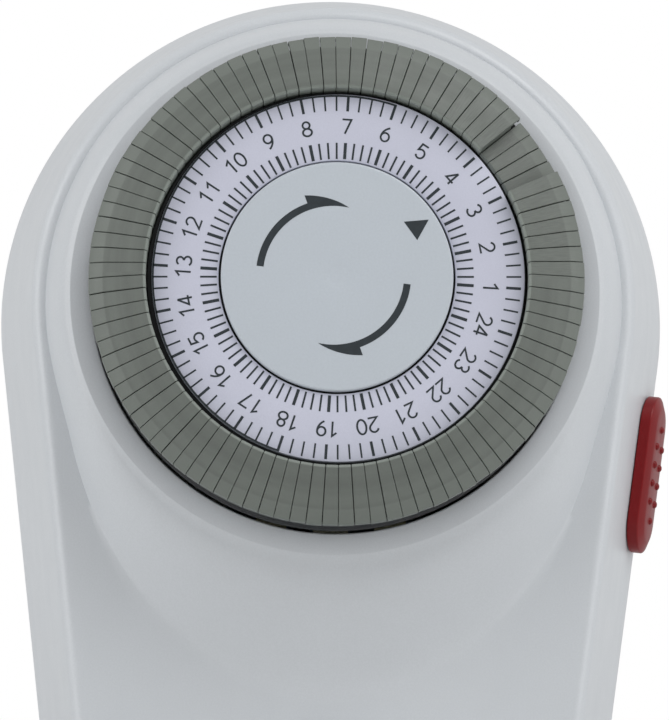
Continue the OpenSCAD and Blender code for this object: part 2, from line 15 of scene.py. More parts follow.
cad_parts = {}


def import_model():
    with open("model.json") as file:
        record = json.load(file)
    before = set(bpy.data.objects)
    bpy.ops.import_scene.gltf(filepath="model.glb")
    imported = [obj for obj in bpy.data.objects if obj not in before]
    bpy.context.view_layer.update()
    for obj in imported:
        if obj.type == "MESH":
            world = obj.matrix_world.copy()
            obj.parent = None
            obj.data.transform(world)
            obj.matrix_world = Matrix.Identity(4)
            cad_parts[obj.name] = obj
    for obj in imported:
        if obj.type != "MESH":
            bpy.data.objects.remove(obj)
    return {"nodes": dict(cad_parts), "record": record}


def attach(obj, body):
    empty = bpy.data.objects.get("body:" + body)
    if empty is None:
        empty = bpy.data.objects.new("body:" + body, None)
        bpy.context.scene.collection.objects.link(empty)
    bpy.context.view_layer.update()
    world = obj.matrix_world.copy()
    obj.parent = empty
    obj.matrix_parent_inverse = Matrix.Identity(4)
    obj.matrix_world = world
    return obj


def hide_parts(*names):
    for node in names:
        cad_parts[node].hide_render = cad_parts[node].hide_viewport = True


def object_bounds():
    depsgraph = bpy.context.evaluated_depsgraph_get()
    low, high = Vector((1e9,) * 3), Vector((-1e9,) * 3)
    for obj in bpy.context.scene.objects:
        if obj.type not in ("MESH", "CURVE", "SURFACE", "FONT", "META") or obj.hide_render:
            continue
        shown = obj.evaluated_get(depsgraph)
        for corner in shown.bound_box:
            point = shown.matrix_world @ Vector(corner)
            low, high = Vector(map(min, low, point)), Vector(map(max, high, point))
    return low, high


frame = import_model()
cad_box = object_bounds()

MM = 0.001

# The case, as in the part's source.
DIAL_Y = 72
HEAD_R = 38.7
SIDE_TAPER = math.radians(7.2)
FOOT_DROP = 27
FOOT_R = 14
WALL_T = 2.2
UPRIGHT_H = 2
SIDE_DRAFT = math.radians(16.5)
PART_Z = 27
FACE_Z = 44.2
PLATEAU_Z = 50
DISC_Z = 60
TAPPET_Z = 61
# The plateau's rim round the dial, and the foot of the slope up to it.
RIM_R = 29.95
FOOT_RING_R = 32.85
FOOT_X = (
    HEAD_R - FOOT_R - (DIAL_Y + FOOT_DROP - FOOT_R) * math.sin(SIDE_TAPER)
) / math.cos(SIDE_TAPER)

# The dial and its tappets.
RING_R = 27.5
RING_IN_R = 21.1
FIRST_HOUR = math.radians(-2.6)
TAPPET_STEP = math.tau / 96
TAPPET_GAP = 0.06
TAPPET_TRAVEL = 2.2
LEG_FOOT_Z = 48.6
# The one hour whose tappets are pushed in.
SET_HOUR = 3
SCALE_Z = 59.4
# The scale sits a little to the right in its recess, so its dark gap is widest on the left.
SCALE_R = 20.62
SCALE_SHIFT = 0.14
DISC_R = 12.9
# The printed arrows are a little off the disc's centre.
ARROWS_X = -0.4
ARROWS_Y = 0.08
# Prints reach this far into their ground, and stand this far above it.
INK_T = 0.02

# Screws: places on the bench's x and y, and the bosses in the front shell.
CASE_SCREWS = [(-24.5, DIAL_Y + 20.5), (24.5, DIAL_Y + 20.5), (-19, -17), (19, -17)]
PLATE_SCREWS = [
    (30.5 * math.cos(math.radians(a)), DIAL_Y + 30.5 * math.sin(math.radians(a)))
    for a in (85, 205, 358)
]
BOSS_R = 3
SCREW_HOLE_R = 1.25
PLATE_BOSS_Z = 31.6

# The hole that the socket's well fills.
WELL_HOLE_R = 21.5

# The override slide.
SLIDE_Y = 54.3
SLIDE_Z = 31.5
SLIDE_IN = (SLIDE_Z - PART_Z - UPRIGHT_H) * math.tan(SIDE_DRAFT)


def at(x, y, z):
    """A bench point as a point of the row frame."""
    return Vector((x, -z, y)) * MM


def round_at(radius, angle, z):
    """A point at a radius and an angle about the dial's axis, at bench height z."""
    return at(radius * math.cos(angle), DIAL_Y + radius * math.sin(angle), z)


def smoothstep(low, high, x):
    t = min(1, max(0, (x - low) / (high - low)))
    return t * t * (3 - 2 * t)


def bezier(p0, p1, p2, p3, count):
    """count + 1 points of a cubic curve between two pairs of numbers."""
    points = []
    for i in range(count + 1):
        t = i / count
        weights = ((1 - t) ** 3, 3 * (1 - t) ** 2 * t, 3 * (1 - t) * t * t, t**3)
        points.append(
            tuple(
                sum(w * p[k] for w, p in zip(weights, (p0, p1, p2, p3)))
                for k in range(2)
            )
        )
    return points


# ---------------------------------------------------------------- meshes


def new_piece(name, bm, material, angle=35):
    """A piece from a bmesh, smooth but for edges sharper than an angle in degrees."""
    bmesh.ops.recalc_face_normals(bm, faces=bm.faces)
    mesh = bpy.data.meshes.new(name)
    bm.to_mesh(mesh)
    bm.free()
    mesh.shade_smooth()
    mesh.set_sharp_from_angle(angle=math.radians(angle))
    mesh.materials.append(material)
    piece = bpy.data.objects.new(name, mesh)
    bpy.context.scene.collection.objects.link(piece)
    return piece


def loft(bm, rings, closed=False):
    """Joins rings of points, each a closed loop, into one skin, with end caps if it's open."""
    rows = [[bm.verts.new(p) for p in ring] for ring in rings]
    pairs = list(zip(rows, rows[1:]))
    if closed:
        pairs.append((rows[-1], rows[0]))
    for a, b in pairs:
        for i in range(len(a)):
            j = (i + 1) % len(a)
            bm.faces.new((a[i], a[j], b[j], b[i]))
    if not closed:
        bm.faces.new(rows[0])
        bm.faces.new(rows[-1])


def prism(bm, low, high):
    """A closed solid between two outlines of the same number of points."""
    loft(bm, [low, high])


def freeze(piece):
    """Applies the modifiers of a piece."""
    graph = bpy.context.evaluated_depsgraph_get()
    old = piece.data
    piece.data = bpy.data.meshes.new_from_object(piece.evaluated_get(graph))
    piece.modifiers.clear()
    bpy.data.meshes.remove(old)


def combine(piece, bm, operation):
    """Adds a bmesh's solids to a piece, or cuts them out of it."""
    tool = new_piece("tool", bm, piece.data.materials[0])
    modifier = piece.modifiers.new("combine", "BOOLEAN")
    modifier.operation = operation
    modifier.object = tool
    modifier.solver = "EXACT"
    freeze(piece)
    bpy.data.objects.remove(tool)


def post(bm, x, y, low, high, radius, sides=40):
    """A round post along the bench's z."""
    rings = [
        [
            at(
                x + radius * math.cos(math.tau * i / sides),
                y + radius * math.sin(math.tau * i / sides),
                z,
            )
            for i in range(sides)
        ]
        for z in (low, high)
    ]
    prism(bm, *rings)


def lathe(bm, profile):
    """Turns a profile of (radius, z) about the dial's axis. Its ends lie on the axis."""
    sides = 160
    rings = [
        [round_at(r, math.tau * i / sides, z) for i in range(sides)]
        for r, z in profile[1:-1]
    ]
    rows = [[bm.verts.new(p) for p in ring] for ring in rings]
    for a, b in zip(rows, rows[1:]):
        for i in range(sides):
            j = (i + 1) % sides
            bm.faces.new((a[i], a[j], b[j], b[i]))
    for (_, z), row in ((profile[0], rows[0]), (profile[-1], rows[-1])):
        tip = bm.verts.new(round_at(0, 0, z))
        for i in range(sides):
            bm.faces.new((tip, row[i], row[(i + 1) % sides]))


def soften(node, width):
    """Rounds the edges of a CAD node a little and shades it smooth, mesh untouched."""
    sharp = math.radians(34)
    for polygon in node.data.polygons:
        polygon.use_smooth = True
    weld = node.modifiers.new("weld", "WELD")
    weld.merge_threshold = 1e-6
    if width:
        bevel = node.modifiers.new("bevel", "BEVEL")
        bevel.width = width * MM
        bevel.segments = 2
        bevel.limit_method = "ANGLE"
        bevel.angle_limit = sharp
        bevel.harden_normals = True
        bevel.use_clamp_overlap = True
    split = node.modifiers.new("split", "EDGE_SPLIT")
    split.split_angle = sharp
    even = node.modifiers.new("even", "WEIGHTED_NORMAL")
    even.mode = "FACE_AREA_WITH_ANGLE"
    even.keep_sharp = True


# ---------------------------------------------------------------- materials


def srgb(*channels):
    """A colour given as 0 to 255 on screen, in linear light."""
    return tuple(
        c / 255 / 12.92 if c < 10 else ((c / 255 + 0.055) / 1.055) ** 2.4
        for c in channels
    )


class Finish:
    """A material under construction: its node tree, its shader and its object coordinates."""

    def __init__(self, name):
        self.material = bpy.data.materials.new(name)
        self.material.use_nodes = True
        self.tree = self.material.node_tree
        self.shader = self.tree.nodes["Principled BSDF"]
        self.place = self.node("ShaderNodeTexCoord").outputs["Object"]

    def node(self, kind, **settings):
        made = self.tree.nodes.new(kind)
        for key, value in settings.items():
            setattr(made, key, value)
        return made

    def link(self, output, target):
        self.tree.links.new(output, target)

    def stretched(self, x, y, z):
        """Object coordinates scaled along each axis."""
        mapping = self.node("ShaderNodeMapping")
        mapping.inputs["Scale"].default_value = (x, y, z)
        self.link(self.place, mapping.inputs["Vector"])
        return mapping.outputs["Vector"]

    def noise(self, size_mm, detail=2.0, place=None):
        """Noise whose blotches are about size_mm across."""
        made = self.node("ShaderNodeTexNoise")
        made.inputs["Scale"].default_value = 1 / (size_mm * MM)
        made.inputs["Detail"].default_value = detail
        self.link(place or self.place, made.inputs["Vector"])
        return made.outputs["Fac"]

    def spread(self, value, low, high, from_low=0.3, from_high=0.7):
        """Maps a noise value on to a range."""
        made = self.node("ShaderNodeMapRange")
        made.inputs["From Min"].default_value = from_low
        made.inputs["From Max"].default_value = from_high
        made.inputs["To Min"].default_value = low
        made.inputs["To Max"].default_value = high
        self.link(value, made.inputs["Value"])
        return made.outputs["Result"]

    def mix(self, factor, a, b):
        """A mix of two colours, each a triple or a socket."""
        made = self.node("ShaderNodeMix", data_type="RGBA")
        self.link(factor, made.inputs["Factor"])
        for key, value in (("A", a), ("B", b)):
            socket = next(
                s for s in made.inputs if s.name == key and s.type == "RGBA"
            )
            if isinstance(value, tuple):
                socket.default_value = (*value, 1)
            else:
                self.link(value, socket)
        return next(s for s in made.outputs if s.type == "RGBA")

    def bump(self, height, depth_mm, strength=1.0, under=None):
        made = self.node("ShaderNodeBump")
        made.inputs["Strength"].default_value = strength
        made.inputs["Distance"].default_value = depth_mm * MM
        self.link(height, made.inputs["Height"])
        if under:
            self.link(under, made.inputs["Normal"])
        return made.outputs["Normal"]

    def set(self, **sockets):
        """Fixed values of the shader's sockets, by name with _ for a space."""
        for key, value in sockets.items():
            self.shader.inputs[key.replace("_", " ")].default_value = value
        return self

    def wire(self, colour, roughness, normal):
        self.link(colour, self.shader.inputs["Base Color"])
        self.link(roughness, self.shader.inputs["Roughness"])
        self.link(normal, self.shader.inputs["Normal"])
        return self.material


def shade(colour, factor):
    return tuple(min(1, c * factor) for c in colour)


def plastic(
    name, colour, rough=0.42, grain=0.22, depth=0.006, drift=0.04, wear=0.0, ripple=0.35, **sockets
):
    """Moulded plastic: a fine eroded grain, flow marks as deep as ripple, and worn edges."""
    f = Finish(name)
    slow = f.noise(14, 3)
    flow = f.noise(2.4, 2, f.stretched(1, 1, 0.35))
    fine = f.noise(grain, 3)
    tone = f.mix(f.spread(slow, 0, 1), shade(colour, 1 - drift), shade(colour, 1 + drift))
    tone = f.mix(f.spread(fine, 0, 0.5), tone, shade(colour, 0.9))
    if wear:
        geometry = f.node("ShaderNodeNewGeometry")
        edge = f.spread(geometry.outputs["Pointiness"], 0, wear, 0.52, 0.62)
        tone = f.mix(edge, tone, shade(colour, 1.35))
    normal = f.bump(flow, 0.01, ripple)
    normal = f.bump(fine, depth, 0.8, normal)
    f.set(**sockets)
    return f.wire(tone, f.spread(flow, rough - 0.15 * ripple, rough + 0.15 * ripple), normal)


def metal(name, colour, rough=0.28, along=(1, 1, 1), scratch=0.12, depth=0.003):
    """Plated or rolled metal, with drawing marks along the stretched axes and faint tarnish."""
    f = Finish(name)
    marks = f.noise(scratch, 3, f.stretched(*along))
    blotch = f.noise(5, 4)
    tone = f.mix(f.spread(blotch, 0, 0.6, 0.4, 0.7), colour, shade(colour, 0.72))
    tone = f.mix(f.spread(marks, 0, 0.35), tone, shade(colour, 1.15))
    f.set(Metallic=1.0)
    return f.wire(
        tone, f.spread(marks, rough - 0.07, rough + 0.1), f.bump(marks, depth, 0.7)
    )


def winding(name, colour):
    """Enamelled wire, wound in close turns along the bench's z, with painted shade in the grooves
    between turns.
    """
    f = Finish(name)
    wave = f.node("ShaderNodeTexWave", bands_direction="Y")
    wave.inputs["Scale"].default_value = 1 / (0.5 * MM)
    wave.inputs["Distortion"].default_value = 0.6
    f.link(f.place, wave.inputs["Vector"])
    turns = wave.outputs["Fac"]
    # Painted shade: the grooves between turns are darkened to under half the wire's colour.
    tone = f.mix(turns, shade(colour, 0.45), colour)
    f.set(Metallic=0.7, Coat_Weight=0.6, Coat_Roughness=0.15)
    return f.wire(tone, f.spread(f.noise(0.6), 0.28, 0.42), f.bump(turns, 0.05, 0.8))


def tappet_plastic(name, colour):
    """Acetal of the tappets: uneven tones and streaks along each, with painted light on the outer
    shoulder and a painted highlight along the inner edge.
    """
    f = Finish(name)
    tint = f.node("ShaderNodeAttribute", attribute_name="tint").outputs["Fac"]
    fine = f.noise(0.2, 3)
    slow = f.noise(3.5, 3)

    # Radius and turn about the dial's axis, for marks that run along the tappets.
    flat = f.node("ShaderNodeMapping")
    flat.inputs["Location"].default_value = (0, 0, -DIAL_Y * MM)
    flat.inputs["Scale"].default_value = (1, 0, 1)
    f.link(f.place, flat.inputs["Vector"])
    radius = f.node("ShaderNodeVectorMath", operation="LENGTH")
    f.link(flat.outputs["Vector"], radius.inputs[0])
    radius = radius.outputs["Value"]
    axes = f.node("ShaderNodeSeparateXYZ")
    f.link(flat.outputs["Vector"], axes.inputs["Vector"])
    turn = f.node("ShaderNodeMath", operation="ARCTAN2")
    f.link(axes.outputs["Z"], turn.inputs[0])
    f.link(axes.outputs["X"], turn.inputs[1])
    polar = f.node("ShaderNodeCombineXYZ")
    f.link(f.spread(turn.outputs["Value"], 0, RING_R * MM, 0, 1), polar.inputs["X"])
    f.link(f.spread(radius, 0, 0.1, 0, 1), polar.inputs["Y"])
    streaks = f.noise(0.16, 3, polar.outputs["Vector"])

    tone = f.mix(tint, shade(colour, 0.9), shade(colour, 1.08))
    tone = f.mix(f.spread(slow, 0, 0.5), tone, shade(colour, 0.9))
    tone = f.mix(f.spread(streaks, 0, 0.75), tone, shade(colour, 1.45))
    tone = f.mix(f.spread(fine, 0, 0.4), tone, shade(colour, 1.12))
    # Painted light: the sloping outer shoulder of each head is made paler in colour.
    painted_shoulder_light = f.spread(radius, 0, 0.6, (RING_R - 1.7) * MM, (RING_R - 1.5) * MM)
    tone = f.mix(painted_shoulder_light, tone, shade(colour, 1.55))
    # Painted highlight: a pale line along the inner edge of each head.
    painted_lip_highlight = f.spread(radius, 0.8, 0, (RING_IN_R + 0.22) * MM, (RING_IN_R + 0.4) * MM)
    tone = f.mix(painted_lip_highlight, tone, shade(colour, 2.2))
    normal = f.bump(slow, 0.02, 0.4)
    normal = f.bump(streaks, 0.006, 0.5, normal)
    normal = f.bump(fine, 0.008, 0.8, normal)
    return f.wire(tone, f.spread(slow, 0.4, 0.55), normal)


def ink(name, colour):
    """Pad-printed ink, slightly uneven and a little thinner in places."""
    f = Finish(name)
    patch = f.noise(0.35, 3)
    tone = f.mix(f.spread(patch, 0, 0.6, 0.45, 0.75), colour, shade(colour, 1.7))
    return f.wire(tone, f.spread(patch, 0.5, 0.62), f.bump(patch, 0.003, 0.6))


HOUSING = srgb(200, 204, 208)

# The looks of the material slots, as arguments of the function that makes them.
PLASTICS = {
    "case_front": dict(
        colour=HOUSING, rough=0.36, grain=0.2, depth=0.005, drift=0.015, Specular_IOR_Level=0.7
    ),
    "case_rear": dict(
        colour=shade(HOUSING, 0.97), rough=0.46, grain=0.24, depth=0.009, drift=0.02
    ),
    "socket_plastic": dict(
        colour=shade(HOUSING, 0.98), rough=0.36, grain=0.2, depth=0.004, drift=0.02
    ),
    "shutter_plastic": dict(colour=(0.75, 0.42, 0.1), rough=0.4),
    "block_plastic": dict(colour=(0.85, 0.83, 0.76), rough=0.5),
    "plate_plastic": dict(colour=(0.72, 0.69, 0.5), rough=0.45),
    "bobbin_plastic": dict(colour=(0.03, 0.03, 0.035), rough=0.4),
    "rotor_magnet": dict(colour=(0.045, 0.045, 0.05), rough=0.5, grain=0.12, depth=0.01),
    "gear_white": dict(colour=(0.8, 0.79, 0.72), rough=0.38),
    "gear_amber": dict(colour=(0.72, 0.55, 0.22), rough=0.36),
    "dial_black": dict(
        colour=srgb(16, 19, 22), rough=0.38, grain=0.2, depth=0.006, drift=0.05
    ),
    "scale_plastic": dict(
        colour=srgb(196, 198, 213), rough=0.42, grain=0.18, depth=0.003, drift=0.01
    ),
    "disc_plastic": dict(
        colour=srgb(188, 195, 202), rough=0.3, grain=0.25, depth=0.003, drift=0.01, ripple=0.01
    ),
    "lever_plastic": dict(colour=(0.78, 0.75, 0.62), rough=0.4),
    "slide_red": dict(
        colour=srgb(120, 13, 17),
        rough=0.34,
        grain=0.3,
        depth=0.008,
        drift=0.05,
        wear=0.15,
        Specular_IOR_Level=0.28,
    ),
    "lead_insulation": dict(colour=(0.14, 0.06, 0.035), rough=0.45),
}
METALS = {
    "screw_steel": dict(colour=(0.62, 0.61, 0.58), rough=0.3),
    "sleeve_brass": dict(colour=(0.78, 0.58, 0.27), rough=0.26),
    "pin_nickel": dict(
        colour=(0.75, 0.73, 0.69), rough=0.2, along=(0.15, 6, 0.15), scratch=0.5, depth=0.002
    ),
    "earth_metal": dict(colour=(0.74, 0.68, 0.5), rough=0.25, along=(1, 0.2, 1)),
    "plate_steel": dict(colour=(0.6, 0.61, 0.62), rough=0.3, along=(0.2, 1, 3)),
    "axle_steel": dict(colour=(0.66, 0.65, 0.63), rough=0.18, along=(3, 0.2, 3)),
    "can_steel": dict(colour=(0.55, 0.56, 0.57), rough=0.33, along=(1, 0.3, 1)),
    "spring_steel": dict(colour=(0.5, 0.52, 0.56), rough=0.22),
    "blade_copper": dict(colour=(0.75, 0.42, 0.24), rough=0.26, along=(1, 1, 0.2)),
}
FINISHES = {slot: plastic(slot, **look) for slot, look in PLASTICS.items()}
FINISHES.update({slot: metal(slot, **look) for slot, look in METALS.items()})
FINISHES["winding_copper"] = winding("winding_copper", (0.62, 0.22, 0.07))
FINISHES["tappet_plastic"] = tappet_plastic("tappet_plastic", srgb(92, 97, 92))
PRINT = ink("print_slate", srgb(32, 40, 45))


# ---------------------------------------------------------------- front shell


def outline_stations(spacing):
    """(centre, radius, outward direction) along the case's outline, about every spacing mm."""
    head = (Vector((0, DIAL_Y)), HEAD_R)
    left = (Vector((-FOOT_X, FOOT_R - FOOT_DROP)), FOOT_R)
    right = (Vector((FOOT_X, FOOT_R - FOOT_DROP)), FOOT_R)
    stops = [
        (head, -SIDE_TAPER),
        (head, math.pi + SIDE_TAPER),
        (left, math.pi + SIDE_TAPER),
        (left, 1.5 * math.pi),
        (right, 1.5 * math.pi),
        (right, math.tau - SIDE_TAPER),
        (head, math.tau - SIDE_TAPER),
    ]
    stations = []
    for ((c0, r0), a0), ((c1, r1), a1) in zip(stops, stops[1:]):
        length = abs(a1 - a0) * r0 + (c1 - c0).length
        count = max(2, round(length / spacing))
        for i in range(count):
            t = i / count
            angle = a0 + (a1 - a0) * t
            stations.append(
                (
                    c0.lerp(c1, t),
                    r0 + (r1 - r0) * t,
                    Vector((math.cos(angle), math.sin(angle))),
                )
            )
    return stations


def side_profile():
    """Outer side of the front shell, as (lean, height): upright, then drafted, then rounded."""
    chamfer, proud, radius = 0.14, 0.02, 1.55
    points = [(chamfer, PART_Z)]
    for height in (chamfer, 0.9, 1.7):
        points.append((0, PART_Z + height))
    bend = PART_Z + UPRIGHT_H
    for height in (0.4, 1.2, 2.5, 4, 5.5, 7, 8.5, 10, 11.5, 13):
        points.append((height * math.tan(SIDE_DRAFT) - proud, bend + height))
    lean, height = points[-1]
    drop = FACE_Z - radius * (1 - math.sin(SIDE_DRAFT)) - height
    lean += drop * math.tan(SIDE_DRAFT)
    height += drop
    for i in range(9):
        a = SIDE_DRAFT + (math.pi / 2 - SIDE_DRAFT) * i / 8
        points.append(
            (
                lean + radius * (math.cos(SIDE_DRAFT) - math.cos(a)),
                height + radius * (math.sin(a) - math.sin(SIDE_DRAFT)),
            )
        )
    return points


SIDE = side_profile()
SHELF_LEAN = SIDE[-1][0]


def foot_radius(angle):
    """How far the foot of the plateau's slope is from the dial's axis: a tongue runs down."""
    half_width, half_height, drop = 31.2, 42.8, 2.85
    c, s = math.cos(angle), math.sin(angle)
    a = (c / half_width) ** 2 + (s / half_height) ** 2
    b = s * drop / half_height**2
    k = (drop / half_height) ** 2 - 1
    tongue = (-b + math.sqrt(b * b - a * k)) / a
    return blend_max(FOOT_RING_R, tongue, 1.2)


def blend_max(a, b, width):
    """The larger of two numbers, with a rounded change-over."""
    h = max(width - abs(a - b), 0) / width
    return max(a, b) + h * h * width / 4


def shell_skin():
    """The front shell's skin, as rings from the parting line over the face and back inside."""
    stations = outline_stations(0.8)
    axis = Vector((0, DIAL_Y))

    def edge(station, lean):
        centre, radius, out = station
        return centre + out * (radius - lean)

    directions = []
    for station in stations:
        way = edge(station, SHELF_LEAN) - axis
        inner_way = edge(station, SHELF_LEAN + WALL_T) - axis
        angle = math.atan2(way.y, way.x)
        foot = min(foot_radius(angle), way.length - 0.1)
        inner_foot = min(foot - WALL_T, inner_way.length - 0.1)
        directions.append((way.normalized(), foot, inner_foot))

    def edge_ring(lean, z):
        return [at(*edge(s, lean), z) for s in stations]

    def dial_ring(radius, z):
        points = [axis + way * radius for way, _, _ in directions]
        return [at(p.x, p.y, z) for p in points]

    rings = [edge_ring(lean, z) for lean, z in SIDE]

    # The face, flat between the shell's edge and the foot of the slope.
    steps = 7
    for i in range(1, steps):
        t = i / steps
        ring = []
        for station, (way, foot, _) in zip(stations, directions):
            p = edge(station, SHELF_LEAN).lerp(axis + way * foot, t)
            ring.append(at(p.x, p.y, FACE_Z))
        rings.append(ring)

    # The slope: steep round the dial, long and soft down the tongue.
    count = 14
    for i in range(count + 1):
        ring = []
        for way, foot, _ in directions:
            soft = smoothstep(33.5, 44, foot)
            low = (0.1 + 0.14 * soft, 0.16 - 0.16 * soft)
            high = (0.42 + 0.16 * soft, 0.88 - 0.02 * soft)
            u, w = bezier((0, 0), low, high, (1, 0.985), count)[i]
            p = axis + way * (foot + (RIM_R - foot) * u)
            ring.append(at(p.x, p.y, FACE_Z + (PLATEAU_Z - FACE_Z) * w))
        rings.append(ring)

    # The rim, the plateau and the edge of the dial's hole.
    hole = RING_R - 0.1
    for radius, down in (
        (RIM_R - 0.06, 0.04),
        (RIM_R - 0.18, 0),
        (hole + 1, 0),
        (hole + 0.22, 0.01),
        (hole + 0.07, 0.07),
        (hole, 0.22),
        (hole, WALL_T),
    ):
        rings.append(dial_ring(radius, PLATEAU_Z - down))

    # The inside, a wall's thickness in.
    under = FACE_Z - WALL_T
    inner_rim_r = 28.3
    for u, w in bezier((1, 1), (0.45, 0.95), (0.16, 0.2), (0, 0), 8):
        ring = []
        for way, _, inner_foot in directions:
            p = axis + way * (inner_foot + (inner_rim_r - inner_foot) * u)
            ring.append(at(p.x, p.y, under + (PLATEAU_Z - WALL_T - under) * w))
        rings.append(ring)
    for lean, z in reversed([s for s in SIDE if s[1] > PART_Z + WALL_T + 0.5]):
        rings.append(edge_ring(lean + WALL_T, z - WALL_T))
    rings.append(edge_ring(WALL_T, PART_Z))

    bm = bmesh.new()
    loft(bm, rings, closed=True)
    return bm


def shell_bosses():
    """Bosses for the case screws and for the screws that hang the movement."""
    bm = bmesh.new()
    for x, y in CASE_SCREWS:
        post(bm, x, y, PART_Z, PART_Z + 13, BOSS_R)
    for x, y in PLATE_SCREWS:
        post(bm, x, y, PLATE_BOSS_Z, FACE_Z - WALL_T / 2, BOSS_R)
    return bm


def shell_cuts():
    """Screw holes, the hole for the socket's well, and the override's slot."""
    bm = bmesh.new()
    for x, y in CASE_SCREWS:
        post(bm, x, y, PART_Z - 1, PART_Z + 10, SCREW_HOLE_R)
    for x, y in PLATE_SCREWS:
        post(bm, x, y, PLATE_BOSS_Z - 1.6, PLATE_BOSS_Z + 7.4, SCREW_HOLE_R)
    post(bm, 0, 0, FACE_Z - 6.2, FACE_Z + 3.8, WELL_HOLE_R, 160)
    slot_half_width = 1.7
    corners = [(-6, -2.7), (6, -2.7), (6, 5.7), (-6, 5.7)]
    prism(
        bm,
        [slide_point(out, along, -slot_half_width) for out, along in corners],
        [slide_point(out, along, slot_half_width) for out, along in corners],
    )
    return bm


def front_shell():
    shell = new_piece("case_front_shell", shell_skin(), FINISHES["case_front"])
    combine(shell, shell_bosses(), "UNION")
    combine(shell, shell_cuts(), "DIFFERENCE")
    shell.data.shade_smooth()
    shell.data.set_sharp_from_angle(angle=math.radians(50))
    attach(shell, "case")
    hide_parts("front_case")


# ---------------------------------------------------------------- override slide


def slide_point(out, along, across):
    """A point beside the right-hand wall: out of it, up along it, and across it to the front."""
    wall_x = HEAD_R / math.cos(SIDE_TAPER) - (DIAL_Y - SLIDE_Y) * math.tan(SIDE_TAPER)
    c, s = math.cos(SIDE_TAPER), math.sin(SIDE_TAPER)
    return at(
        wall_x + out * c + along * s, SLIDE_Y - out * s + along * c, SLIDE_Z + across
    )


def cap_point(out, along, across):
    """A point of the cap, which lies on the drafted side. Its underside is at out = 0."""
    c, s = math.cos(SIDE_DRAFT), math.sin(SIDE_DRAFT)
    return slide_point(
        0.1 - SLIDE_IN + out * c - across * s, along, across * c + out * s
    )


def pill(half_length, half_width):
    """Outline of a rounded bar, as (along, across)."""
    steps = 20
    points = []
    for end, start in ((1, 0), (-1, math.pi)):
        middle = end * (half_length - half_width)
        for i in range(steps + 1):
            a = start + math.pi * i / steps
            points.append((middle + half_width * math.sin(a), half_width * math.cos(a)))
    return points


def cap_body(bm):
    half_length, half_width = 9.2, 3.8
    # (inset, height): upright side, first bevel, second bevel, crowned top.
    steps = [
        (0.12, 0.0),
        (0.0, 0.12),
        (0.0, 1.18),
        (0.06, 1.3),
        (0.16, 1.37),
        (1.12, 1.74),
        (1.26, 1.79),
        (1.45, 1.83),
        (2.4, 1.88),
        (3.1, 1.895),
        (3.7, 1.9),
    ]
    rings = []
    for inset, height in steps:
        shape = pill(half_length - inset, half_width - inset)
        rings.append([cap_point(height, along, across) for along, across in shape])
    loft(bm, rings)


def grip_dot(bm, along, across):
    """A low dome on the cap's top."""
    ground, sides = 1.83, 16
    dome = []
    for r, h in ((0.46, -0.1), (0.44, 0.1), (0.36, 0.24), (0.22, 0.33), (0.08, 0.36)):
        ring = []
        for i in range(sides):
            a = math.tau * i / sides
            ring.append(cap_point(ground + h, along + r * math.cos(a), across + r * math.sin(a)))
        dome.append(ring)
    loft(bm, dome)


def override_cap():
    """The red cap with its dots, two to a row and one at each end, and its stem."""
    bm = bmesh.new()
    cap_body(bm)
    rows, row_pitch, column = 6, 2.15, 1.3
    for row in range(rows):
        along = (row - (rows - 1) / 2) * row_pitch
        for across in (0,) if row in (0, rows - 1) else (-column, column):
            grip_dot(bm, along, across)

    # Stem through the slot.
    corners = [(-2.3, -1.3), (2.3, -1.3), (2.3, 1.3), (-2.3, 1.3)]
    prism(
        bm,
        [slide_point(-8.5, along, across) for along, across in corners],
        [slide_point(0.4, along, across) for along, across in corners],
    )
    cap = new_piece("override_cap", bm, FINISHES["slide_red"], 24)
    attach(cap, "override")
    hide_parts("override_slide")


# ---------------------------------------------------------------- tappets


def tappet(bm, tint, centre, lift, shift, tone):
    """One push tappet: a wedge-shaped head hooked over the carrier's wall, and its leg."""
    top = TAPPET_Z + lift
    under = top - 6
    hook_z, lip_z = top - 2.65, top - 3.8
    wall_in, wall_out, outer = RING_R - 1.45, RING_R - 0.45, RING_R + shift
    head = [
        (RING_IN_R, under),
        (wall_in, under),
        (wall_in, hook_z),
        (wall_out, hook_z),
        (wall_out, lip_z),
        (outer, lip_z),
        (outer, top - 2.6),
        (outer - 0.12, top - 2.42),
        (RING_R - 1.55, top - 1.53),
        (RING_R - 1.75, top - 1.44),
        (RING_IN_R + 0.3, top),
        (RING_IN_R, top - 0.3),
    ]
    c, s = math.cos(centre), math.sin(centre)

    def point(along, across, z):
        return at(along * c - across * s, DIAL_Y + along * s + across * c, z)

    sides = []
    for side in (-1, 1):
        sides.append(
            [
                point(r, side * (r * math.tan(TAPPET_STEP / 2) - TAPPET_GAP / 2), z)
                for r, z in head
            ]
        )
    before = len(bm.faces)
    prism(bm, *sides)
    leg = [(22.4, -0.5), (25.4, -0.5), (25.4, 0.5), (22.4, 0.5)]
    prism(
        bm,
        [point(a, b, LEG_FOOT_Z + lift) for a, b in leg],
        [point(a, b, under + 0.05) for a, b in leg],
    )
    bm.faces.ensure_lookup_table()
    for face in bm.faces[before:]:
        face[tint] = tone


